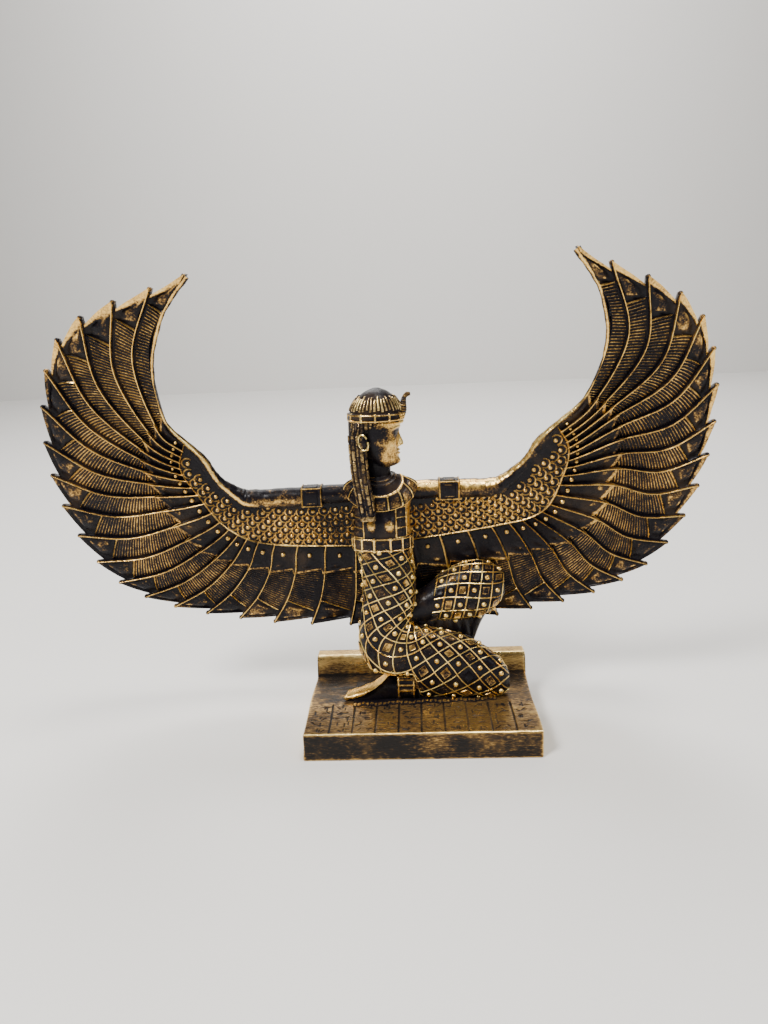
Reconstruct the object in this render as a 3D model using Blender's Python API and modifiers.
# A kneeling winged woman cast in one piece, standing on a plinth with a raised ledge at its back.
# Metres, +Z up, -Y is the front. The origin is on the plinth's underside, under the middle of its block.

import math

import bmesh
import bpy
from mathutils import Vector

# Driving dimensions of the plinth
PLINTH_WIDTH = 0.145
PLINTH_DEPTH = 0.090
PLINTH_HEIGHT = 0.018
PLINTH_EDGE_ROUND = 0.0012
LEDGE_DEPTH = 0.010
LEDGE_HEIGHT = 0.0135
COLUMN_PITCH = 0.0142
COLUMN_COUNT = 9
GROOVE_WIDTH = 0.0007
GROOVE_DEPTH = 0.0006
GROOVE_REACH = 0.036

# The figure: its crown's height above the plinth sets every other length of the carving
FIGURE_HEIGHT = 0.200
FIGURE_LEFT_OF_MIDDLE = 0.0215
SEAT_GAP = 0.0003

# One carving unit: the crown is 200 units above the plinth
UNIT = FIGURE_HEIGHT / 200
SEAT = PLINTH_HEIGHT + SEAT_GAP

# Wings: lengths in carving units
FEATHERS = 20
KNOTS_EVERY = 4
FEATHER_NOTCH = 6.0
FEATHER_VALLEY = 0.18
SPINE_RISE = 0.9
FEATHER_DROP = 1.3
SPINE_OVERHANG = 0.10
COVERT_POINT = 0.08
COVERT_NOTCH = -0.06
COVERT_STEP = 1.4
SCALE_STEP = 2.6
SCALE_BUMP = 0.7
PLATE_THICKNESS = 6.5
RIM_THICKNESS = 5.0
LOWEST_BEND = 0.03
ARM_LIFT = 2.0
ARM_STATIONS = 12
RIM_RADIUS = 2.6
ARMLET_SPAN = (36, 50)
ARMLET_RADIUS = 7.4

# The arm's radius at some feathers, thinning towards the wing's tip, and the rim's places up the last feather
ARM_RADII = [(0, 6.0), (4, 6.0), (7.5, 6.0), (10, 4.7), (14, 3.6), (20, 3.6)]
RIM_PLACES = (2.0, 2.7, 3.4, 3.97)

# Rows of a wing's skin: place along the feather line, what shifts it, and the layer it lies in
ROWS = [
    (0.0, "", "scales"), (0.55, "", "scales"), (1.0, "", "scales"),
    (1.07, "", "coverts"), (2.0, "zigzag", "coverts"),
    (2.07, "zigzag", "primaries"), (3.0, "", "primaries"), (4.0, "tip", "primaries"),
]
LAYER_STEPS = {"scales": SCALE_STEP, "coverts": COVERT_STEP, "primaries": 0.0}

# Guide lines of each wing as (outward from the body's axis, height above the plinth), one knot every
# KNOTS_EVERY feathers from the body to the wing's tip
RIGHT_WING = {
    "side": 1,
    "bend": 0.19,
    "arm": [(-1.5, 134.5), (46, 135), (72, 136), (85, 147), (96, 158), (99, 166)],
    "scales": [(-1.5, 99), (69, 109.5), (100, 119), (111, 143), (113, 161), (106, 174)],
    "coverts": [(-1.5, 80), (80, 86), (127, 104), (142, 147), (137, 179), (121, 191)],
    "tips": [(-1.5, 37), (98, 45), (169, 80), (193.5, 155), (175.5, 234), (107, 271)],
}
LEFT_WING = {
    "side": -1,
    "bend": 0.15,
    "arm": [(-1.5, 134.5), (50, 133), (82, 133), (95, 141), (106, 152), (109, 162)],
    "scales": [(-1.5, 98), (70, 101), (98, 113), (113, 138), (120, 156), (115, 171)],
    "coverts": [(-1.5, 80), (76, 81), (118, 98), (137, 138), (139, 168), (124.5, 186)],
    "tips": [(-1.5, 37), (102, 43), (176.5, 77), (198, 156), (170, 236), (94, 266.5)],
}

# Corners round each lofted part, the lattice dress's relief, and the bend in degrees below which
# neighbouring faces of the casting are merged
DRESS_ROUND = 24
DRESS_RINGS = 28
DRESS_RISE = 0.7
COLLAR_ROUND = 18
HEAD_ROUND = 16
WIG_ROUND = 20
SLIVER_ANGLE = 0.5


def clear_scene():
    for item in list(bpy.data.objects):
        bpy.data.objects.remove(item, do_unlink=True)


def new_collection(name):
    collection = bpy.data.collections.new(name)
    bpy.context.scene.collection.children.link(collection)
    return collection


def new_material(name, color, roughness, metallic):
    material = bpy.data.materials.new(name)
    material.use_nodes = True
    shader = material.node_tree.nodes["Principled BSDF"]
    shader.inputs["Base Color"].default_value = (*color, 1.0)
    shader.inputs["Roughness"].default_value = roughness
    shader.inputs["Metallic"].default_value = metallic
    return material


def place(out, deep, high):
    # Carving units from the body's axis to metres
    return Vector((out * UNIT - FIGURE_LEFT_OF_MIDDLE, deep * UNIT, SEAT + high * UNIT))


def blend(a, b, share):
    return a + (b - a) * share


def spline(knots, t):
    # A smooth curve through evenly spaced knots, which are tuples of any length; t counts knots
    last = len(knots) - 1
    index = min(max(int(t), 0), last - 1)
    s = t - index
    p1, p2 = knots[index], knots[index + 1]
    p0 = knots[index - 1] if index > 0 else [2 * a - b for a, b in zip(p1, p2)]
    p3 = knots[index + 2] if index + 2 <= last else [2 * b - a for a, b in zip(p1, p2)]
    return [
        b + 0.5 * s * (c - a + s * (2 * a - 5 * b + 4 * c - d + s * (3 * (b - c) + d - a)))
        for a, b, c, d in zip(p0, p1, p2, p3)
    ]


def finish_mesh(name, mesh_builder, collection, material=None):
    bmesh.ops.triangulate(mesh_builder, faces=mesh_builder.faces[:])
    bmesh.ops.recalc_face_normals(mesh_builder, faces=mesh_builder.faces[:])
    mesh = bpy.data.meshes.new(name)
    mesh_builder.to_mesh(mesh)
    mesh_builder.free()
    made = bpy.data.objects.new(name, mesh)
    collection.objects.link(made)
    if material:
        mesh.materials.append(material)
    return made


def loft(name, rings, collection, material=None):
    # A closed skin over rings of equally many points, with flat ends. Its triangles turn about by
    # turns, so that the raised points of a quilted skin are joined by ridges.
    builder = bmesh.new()
    rows = [[builder.verts.new(point) for point in ring] for ring in rings]
    count = len(rows[0])
    for r, (upper, lower) in enumerate(zip(rows, rows[1:])):
        for i in range(count):
            j = (i + 1) % count
            corners = (upper[i], upper[j], lower[j], lower[i])
            first = (i + r) % 2
            for k in (first, first + 2):
                builder.faces.new((corners[k], corners[(k + 1) % 4], corners[(k + 2) % 4]))
    builder.faces.new(rows[0])
    builder.faces.new(rows[-1])
    return finish_mesh(name, builder, collection, material)


def oval(center, across, half_across, half_deep, count, squareness=2.0, swell=None):
    # A ring round a center (out, deep, high), its long axis along across (out, high)
    ring = []
    for i in range(count):
        angle = 2 * math.pi * i / count
        c, s = math.cos(angle), math.sin(angle)
        power = 2 / squareness
        a = math.copysign(abs(c) ** power, c)
        b = math.copysign(abs(s) ** power, s)
        extra = swell(i) if swell else 0.0
        reach = (half_across + extra) * a
        ring.append(place(
            center[0] + across[0] * reach,
            center[1] + (half_deep + extra) * b,
            center[2] + across[1] * reach,
        ))
    return ring


def swept(name, sections, rings, count, collection, squareness=2.0, quilt=0.0, material=None):
    # Sections are (out, deep, high, turn in degrees, half across, half deep)
    skin = []
    for r in range(rings):
        t = (len(sections) - 1) * r / (rings - 1)
        out, deep, high, turn, half_across, half_deep = spline(sections, t)
        angle = math.radians(turn)

        def swell(i, row=r):
            return quilt if (i + row) % 2 == 0 else 0.0

        skin.append(oval(
            (out, deep, high), (math.cos(angle), math.sin(angle)),
            half_across, half_deep, count, squareness, swell,
        ))
    return loft(name, skin, collection, material)


def wing_depth(out, high):
    # Depth of the wing's front face: it leans forward as it rises and cups forward at its outer edge
    rise = high - 47
    near = max(0.0, 1 - out / 100)
    return 33 - 0.25 * rise - 0.0004 * rise * abs(rise) - 0.10 * (out - 115) - near * (22 - 0.13 * high)


def spine_knots(wing, feather):
    # One feather's line, through the guide lines, with a bulge between the coverts and the tip
    t = feather / KNOTS_EVERY
    arm, scales, coverts, tips = (spline(wing[key], t) for key in ("arm", "scales", "coverts", "tips"))
    run = (tips[0] - coverts[0], tips[1] - coverts[1])
    bend = blend(LOWEST_BEND, wing["bend"], feather / FEATHERS)
    middle = [
        (coverts[0] + tips[0]) / 2 + bend * run[1],
        (coverts[1] + tips[1]) / 2 - bend * run[0],
    ]
    return [arm, scales, coverts, middle, tips]


def wing_point(wing, feather, row, back):
    # Rows run from the arm (0) past the scales (1) and coverts (2) to the feather tips (4)
    share = feather - math.floor(feather + 1e-6)
    climb = max(0.0, (share - FEATHER_VALLEY) / (1 - FEATHER_VALLEY))
    on_spine = share < 1e-3
    knots = spine_knots(wing, feather)
    middle, tips = knots[3], knots[4]
    length = math.hypot(tips[0] - middle[0], tips[1] - middle[1])
    notch = 0.0 if on_spine else FEATHER_NOTCH / length * (1 - climb)
    zigzag = SPINE_OVERHANG if on_spine else blend(COVERT_NOTCH, COVERT_POINT, climb)

    t, shift, layer = ROWS[row]
    if shift == "zigzag":
        t += zigzag
    if shift == "tip":
        t -= notch
    out, high = spline(knots, t)

    ridge = SPINE_RISE if on_spine else -FEATHER_DROP * (1 - climb)
    if layer == "scales":
        ridge = SCALE_BUMP if (round(2 * feather) + row) % 2 else -SCALE_BUMP
    deep = wing_depth(out, high)
    if back:
        deep += blend(PLATE_THICKNESS, RIM_THICKNESS, t / 4) + 0.5 * ridge
    else:
        deep -= LAYER_STEPS[layer] + ridge
    return place(wing["side"] * out, deep, high)


def build_wing(name, wing, collection):
    columns = []
    for feather in range(FEATHERS):
        columns += [feather, feather + FEATHER_VALLEY]
    columns.append(FEATHERS)
    builder = bmesh.new()
    bmesh.ops.create_grid(builder, x_segments=len(columns) - 1, y_segments=len(ROWS) - 1, size=0.5)
    spots = {}
    for vertex in builder.verts:
        column = round((vertex.co.x + 0.5) * (len(columns) - 1))
        row = round((vertex.co.y + 0.5) * (len(ROWS) - 1))
        spots[vertex] = (columns[column], row)
    fronts = list(builder.verts)
    grown = bmesh.ops.extrude_face_region(builder, geom=builder.faces[:], use_keep_orig=True)
    backs = [item for item in grown["geom"] if isinstance(item, bmesh.types.BMVert)]
    for vertex in backs:
        column = round((vertex.co.x + 0.5) * (len(columns) - 1))
        row = round((vertex.co.y + 0.5) * (len(ROWS) - 1))
        vertex.co = wing_point(wing, columns[column], row, True)
    for vertex in fronts:
        feather, row = spots[vertex]
        vertex.co = wing_point(wing, feather, row, False)
    return finish_mesh(name, builder, collection)


def build_arm(name, wing, collection):
    # The arm along the wing's top, thinning to the rim that runs up the inner edge to the tip
    sections = []
    for feather, radius in ARM_RADII:
        out, high = spline(wing["arm"], feather / KNOTS_EVERY)
        sections.append((out, high, radius))
    inner = spine_knots(wing, FEATHERS)
    for t in RIM_PLACES:
        out, high = spline(inner, t)
        sections.append((out, high, RIM_RADIUS * (0.6 if t == RIM_PLACES[-1] else 1)))
    rings = []
    for r in range(ARM_STATIONS):
        t = (len(sections) - 1) * r / (ARM_STATIONS - 1)
        out, high, radius = spline(sections, t)
        ahead = spline(sections, min(t + 0.2, len(sections) - 1.001))
        behind = spline(sections, max(t - 0.2, 0))
        along = Vector((ahead[0] - behind[0], ahead[1] - behind[1])).normalized()
        side = wing["side"]
        across = (-along.y * side, along.x)
        deep = wing_depth(out, high) + ARM_LIFT
        rings.append(oval((side * out, deep, high), across, radius, radius * 1.05, 8))
    return loft(name, rings, collection)


def build_armlet(name, wing, collection):
    rings = []
    start, end = ARMLET_SPAN
    high = wing["arm"][1][1]
    for out, inset in ((start, 0.8), (start + 1, 0), (end - 1, 0), (end, 0.8)):
        radius = ARMLET_RADIUS - inset
        deep = wing_depth(out, high) + ARM_LIFT
        rings.append(oval((wing["side"] * out, deep, high), (0, 1), radius, radius, 12, 3.0))
    return loft(name, rings, collection)


def build_body(collection):
    # Belt, hips and the kneeling leg as one bent sweep with a quilted lattice dress
    sections = [
        (0.3, 9, 104, 0, 18.2, 11.5),
        (1.8, 8.5, 91, 0, 16.2, 11.2),
        (3.2, 8.5, 76, 0, 16.6, 12),
        (2.4, 8.5, 60, 10, 17.4, 13),
        (-0.4, 8.5, 45, 22, 18.5, 14),
        (3.5, 7, 34, 40, 20.5, 14.5),
        (11, 5.5, 26, 58, 24, 13.5),
        (24, 4.5, 22, 74, 24, 12.5),
        (39, 4, 20, 80, 22.3, 12),
        (53.5, 3.5, 17.5, 85, 19.8, 11.5),
        (66, 3, 14, 90, 15.5, 10.5),
        (74, 3, 11, 90, 11.5, 8.5),
        (79, 3, 9, 90, 5.5, 4.5),
    ]
    return swept("winged_figure", sections, DRESS_RINGS, DRESS_ROUND, collection, 2.3, DRESS_RISE)


def build_chest(collection):
    sections = [
        (0.3, 9, 98, 0, 17.0, 10.8),
        (0.3, 9, 108, 0, 18.2, 11.4),
        (0.6, 9, 118, 0, 17.5, 12),
        (0.8, 10, 128, 0, 18.3, 12),
        (0.5, 11, 136, 0, 20.5, 11.5),
        (0.5, 11.5, 141.5, 0, 17.5, 9.5),
        (0.5, 11, 145.5, 0, 9.0, 7.5),
        (0.8, 10, 152, 0, 6.4, 6.6),
        (1.2, 9, 160, 0, 6.4, 6.8),
    ]
    return swept("chest", sections, 9, 16, collection, 2.3)


def build_belt(collection):
    rings = []
    for high, grow in ((99.5, 0.0), (100.5, 1.0), (107.5, 1.0), (108.5, 0.0)):
        rings.append(oval((0.3, 9, high), (1, 0), 18.4 + grow, 11.6 + grow, 16, 2.3))
    return loft("belt", rings, collection)


def build_collar(collection):
    # The plates' lower edge dips over the breast and, less, over the back
    rings = []
    for high, half_across, half_deep, dip in (
        (139, 21.0, 11.5, 13), (140, 22.6, 12.8, 13), (142.5, 20.5, 12.2, 9), (145.5, 14, 9.8, 4), (147.5, 8.5, 8, 1),
    ):
        ring = []
        for i in range(COLLAR_ROUND):
            angle = 2 * math.pi * i / COLLAR_ROUND
            forward = max(0.0, -math.sin(angle))
            rearward = max(0.0, math.sin(angle))
            drop = dip * (forward + 0.5 * rearward)
            ring.append(place(
                0.5 + half_across * math.cos(angle),
                10 + half_deep * math.sin(angle),
                high - drop,
            ))
        rings.append(ring)
    return loft("collar", rings, collection)


def ball(name, center, radii, collection, turn=0.0):
    builder = bmesh.new()
    bmesh.ops.create_uvsphere(builder, u_segments=8, v_segments=5, radius=1.0)
    for vertex in builder.verts:
        x, y, z = vertex.co.x * radii[0], vertex.co.y * radii[1], vertex.co.z * radii[2]
        c, s = math.cos(math.radians(turn)), math.sin(math.radians(turn))
        vertex.co = place(center[0] + c * x - s * z, center[1] + y, center[2] + s * x + c * z)
    return finish_mesh(name, builder, collection)


def build_head(collection):
    # Levels of the head, which looks to +X: (height, back, front, half width)
    levels = [
        (151.5, -1, 8.5, 3.5), (154, -4, 12.4, 6.5), (157, -7, 12.6, 8.6), (159.6, -9, 13.7, 9.6),
        (162, -10, 12.9, 10.3), (165, -11.5, 15.8, 10.9), (168, -12.5, 14.9, 11.5), (172, -13.5, 12.7, 12.0),
        (176, -14, 14.8, 12.3), (181, -14, 15.2, 12.6), (187, -13.5, 14.2, 12.0), (192, -11, 11.4, 10.2),
        (196, -7, 7.4, 7.0), (198.5, -2.5, 3.0, 3.0),
    ]
    rings = []
    for high, back, front, half_width in levels:
        middle = (back + front) / 2
        reach = (front - back) / 2
        face = 163 < high < 170
        ring = []
        for i in range(HEAD_ROUND):
            angle = 2 * math.pi * i / HEAD_ROUND
            c, s = math.cos(angle), math.sin(angle)
            pinch = 0.86 if face and 0 < abs(s) < 0.7 and c > 0 else 1.0
            ring.append(place(middle + reach * c * pinch, 8.5 + half_width * s, high))
        rings.append(ring)
    return loft("head", rings, collection)


def build_wig(collection):
    # Cap and back hair, with upright locks: (height, back, front, half width)
    levels = [
        (120, -13, -8, 5), (134, -14, -5, 9), (146, -16, -3, 12), (158, -17, -3, 13.2), (170, -17.2, -2, 13.8),
        (176, -17.2, 2, 14), (181, -17, 13.5, 14), (184, -16.8, 16, 13.9), (188, -15.6, 15.2, 13.2),
        (193, -12.4, 12, 11.2), (197, -7.8, 8, 8), (199.8, -2.6, 3.2, 3),
    ]
    rings = []
    for high, back, front, half_width in levels:
        ring = []
        for i in range(WIG_ROUND):
            angle = 2 * math.pi * i / WIG_ROUND
            lock = 0.5 if i % 2 else 0.0
            ring.append(place(
                (back + front) / 2 + ((front - back) / 2 - lock) * math.cos(angle),
                9 + (half_width - lock) * math.sin(angle),
                high,
            ))
        rings.append(ring)
    return loft("wig", rings, collection)


def build_lappet(collection):
    # The front hair, lying over the collar on the breast
    sections = [
        (-9.5, -3.2, 172, 0, 6.5, 3.0),
        (-9.2, -2.8, 160, 0, 6.2, 3.2),
        (-9.0, -3.0, 148, 0, 5.6, 3.4),
        (-8.6, -4.4, 138, 0, 5.2, 3.4),
        (-8.4, -4.6, 121, 0, 5.0, 3.0),
    ]
    return swept("lappet", sections, 5, 10, collection, 3.0)


def build_headband(collection):
    rings = []
    for high, grow in ((180, 0.2), (180.8, 1.0), (184.4, 0.9), (185.2, 0.1)):
        rings.append(oval((-0.6, 9, high), (1, 0), 16.0 + grow, 14.0 + grow, 16))
    return loft("headband", rings, collection)


def build_uraeus(collection):
    # A small rearing cobra on the forehead
    sections = [
        (13.4, 8.5, 182, 180, 1.8, 2.4),
        (15.4, 8.5, 187, 172, 1.6, 2.4),
        (15.8, 8.5, 192, 168, 1.3, 1.8),
        (17.6, 8.5, 195, 130, 1.1, 1.4),
        (19.6, 8.5, 195.8, 95, 0.8, 1.0),
    ]
    return swept("uraeus", sections, 6, 8, collection)


def build_foot(collection):
    # The near foot lies sole up, its toes towards -X
    sections = [
        (20, 2.5, 5, 90, 8.5, 6.5),
        (9, 2, 5.5, 90, 8.5, 6.8),
        (0.5, 1.5, 6.5, 90, 9.5, 6.8),
        (-5, 1, 3.5, 90, 8, 6.2),
        (-12, 0.5, 1.0, 90, 5, 5.8),
        (-20, 0, 0.2, 90, 3.4, 5.6),
        (-26, 0, -0.3, 90, 2.0, 4.6),
    ]
    return swept("near_foot", sections, 9, 10, collection, 2.4)


def build_anklet(collection):
    rings = []
    for out, radius in ((6.0, 7.2), (6.8, 8.3), (17.2, 8.3), (18, 7.2)):
        rings.append(oval((out, 2, 5.2), (0, 1), radius, radius - 0.6, 12, 2.6))
    return loft("anklet", rings, collection)


def build_far_thigh(collection):
    sections = [
        (8, 14, 54, 80, 10, 8.5),
        (22, 15.5, 59, 78, 12, 10.5),
        (36, 17, 65, 84, 15, 12.3),
        (49, 18, 67.8, 90, 17.4, 13.2),
        (61, 18.5, 68.5, 92, 17.4, 13.2),
        (71, 18.5, 68, 94, 13.5, 11),
        (77.6, 18.5, 68, 90, 6.5, 5.5),
    ]
    return swept("far_thigh", sections, 13, 18, collection, 2.2, DRESS_RISE)


def build_far_shin(collection):
    sections = [
        (62, 19.5, 66, 10, 11, 9.5),
        (58.5, 21, 52, 12, 10.5, 9),
        (54, 23.5, 38, 15, 8.8, 8),
        (49, 24.5, 20, 12, 7.4, 7.4),
        (46, 24.5, 6, 0, 7.2, 7),
        (46, 24.5, -2, 0, 8, 7.2),
    ]
    return swept("far_shin", sections, 6, 10, collection)


def build_far_foot(collection):
    sections = [
        (38, 24.5, 3, 90, 5.0, 6.0),
        (50, 24.5, 3.4, 90, 6.0, 6.4),
        (62, 24.5, 1.4, 90, 4.0, 6.2),
        (70, 24.5, 0, 90, 2.2, 4.4),
    ]
    return swept("far_foot", sections, 5, 10, collection)


def build_floor_cutter(collection):
    # Everything below the plinth's top and the seat gap is cut off flat
    bpy.ops.mesh.primitive_cube_add(size=1, location=(0, 0, SEAT - PLINTH_HEIGHT / 2))
    cutter = bpy.context.object
    cutter.name = "floor_cutter"
    cutter.scale = (2 * PLINTH_WIDTH, 2 * PLINTH_DEPTH, PLINTH_HEIGHT)
    for owner in list(cutter.users_collection):
        owner.objects.unlink(cutter)
    collection.objects.link(cutter)
    return cutter


def hide_tool(tool):
    tool.hide_render = True
    tool.display_type = "WIRE"


def add_boolean(target, tool, operation):
    modifier = target.modifiers.new(tool.name, "BOOLEAN")
    modifier.operation = operation
    modifier.solver = "EXACT"
    modifier.object = tool
    hide_tool(tool)


def build_plinth(collection, tools, material):
    # The block and its rear ledge as one side profile, swept over the width
    half_width, half_depth = PLINTH_WIDTH / 2, PLINTH_DEPTH / 2
    profile = [
        (-half_depth, 0), (half_depth, 0), (half_depth, PLINTH_HEIGHT + LEDGE_HEIGHT),
        (half_depth - LEDGE_DEPTH, PLINTH_HEIGHT + LEDGE_HEIGHT),
        (half_depth - LEDGE_DEPTH, PLINTH_HEIGHT), (-half_depth, PLINTH_HEIGHT),
    ]
    builder = bmesh.new()
    face = builder.faces.new([builder.verts.new((-half_width, y, z)) for y, z in profile])
    grown = bmesh.ops.extrude_face_region(builder, geom=[face], use_keep_orig=True)
    moved = [item for item in grown["geom"] if isinstance(item, bmesh.types.BMVert)]
    bmesh.ops.translate(builder, verts=moved, vec=(PLINTH_WIDTH, 0, 0))
    plinth = finish_mesh("plinth", builder, collection, material)
    rounding = plinth.modifiers.new("edges", "BEVEL")
    rounding.width = PLINTH_EDGE_ROUND
    rounding.segments = 1
    rounding.limit_method = "ANGLE"

    first = -COLUMN_PITCH * (COLUMN_COUNT - 1) / 2
    bpy.ops.mesh.primitive_cube_add(size=1, location=(
        first, GROOVE_REACH / 2 - half_depth, PLINTH_HEIGHT,
    ))
    groove = bpy.context.object
    groove.name = "column_grooves"
    groove.data.transform(groove.matrix_basis.Diagonal((GROOVE_WIDTH, GROOVE_REACH, 2 * GROOVE_DEPTH, 1)))
    for owner in list(groove.users_collection):
        owner.objects.unlink(groove)
    tools.objects.link(groove)
    row = groove.modifiers.new("row", "ARRAY")
    row.count = COLUMN_COUNT
    row.use_relative_offset = False
    row.use_constant_offset = True
    row.constant_offset_displace = (COLUMN_PITCH, 0, 0)
    add_boolean(plinth, groove, "DIFFERENCE")
    return plinth


def main():
    clear_scene()
    model = new_collection("winged_kneeling_figure")
    tools = new_collection("tools")
    resin = new_material("antique_gold_on_charcoal", (0.10, 0.075, 0.035), 0.42, 0.35)
    bronze = new_material("brushed_bronze", (0.20, 0.14, 0.07), 0.45, 0.4)

    build_plinth(model, tools, bronze)

    figure = build_body(model)
    figure.data.materials.append(resin)
    pieces = [
        build_chest(tools), build_belt(tools), build_collar(tools),
        ball("near_breast", (-5.2, -1.2, 117), (4.6, 3.2, 5.0), tools),
        ball("far_breast", (5.4, -1.2, 117), (4.6, 3.2, 5.0), tools),
        build_head(tools), build_wig(tools), build_lappet(tools), build_headband(tools), build_uraeus(tools),
        build_foot(tools), build_anklet(tools), build_far_thigh(tools), build_far_shin(tools),
        build_far_foot(tools),
    ]
    for wing, title in ((RIGHT_WING, "right"), (LEFT_WING, "left")):
        pieces.append(build_wing(title + "_wing", wing, tools))
        pieces.append(build_arm(title + "_arm", wing, tools))
        pieces.append(build_armlet(title + "_armlet", wing, tools))
    for piece in pieces:
        add_boolean(figure, piece, "UNION")
    add_boolean(figure, build_floor_cutter(tools), "DIFFERENCE")
    slivers = figure.modifiers.new("slivers", "DECIMATE")
    slivers.decimate_type = "DISSOLVE"
    slivers.angle_limit = math.radians(SLIVER_ANGLE)


main()
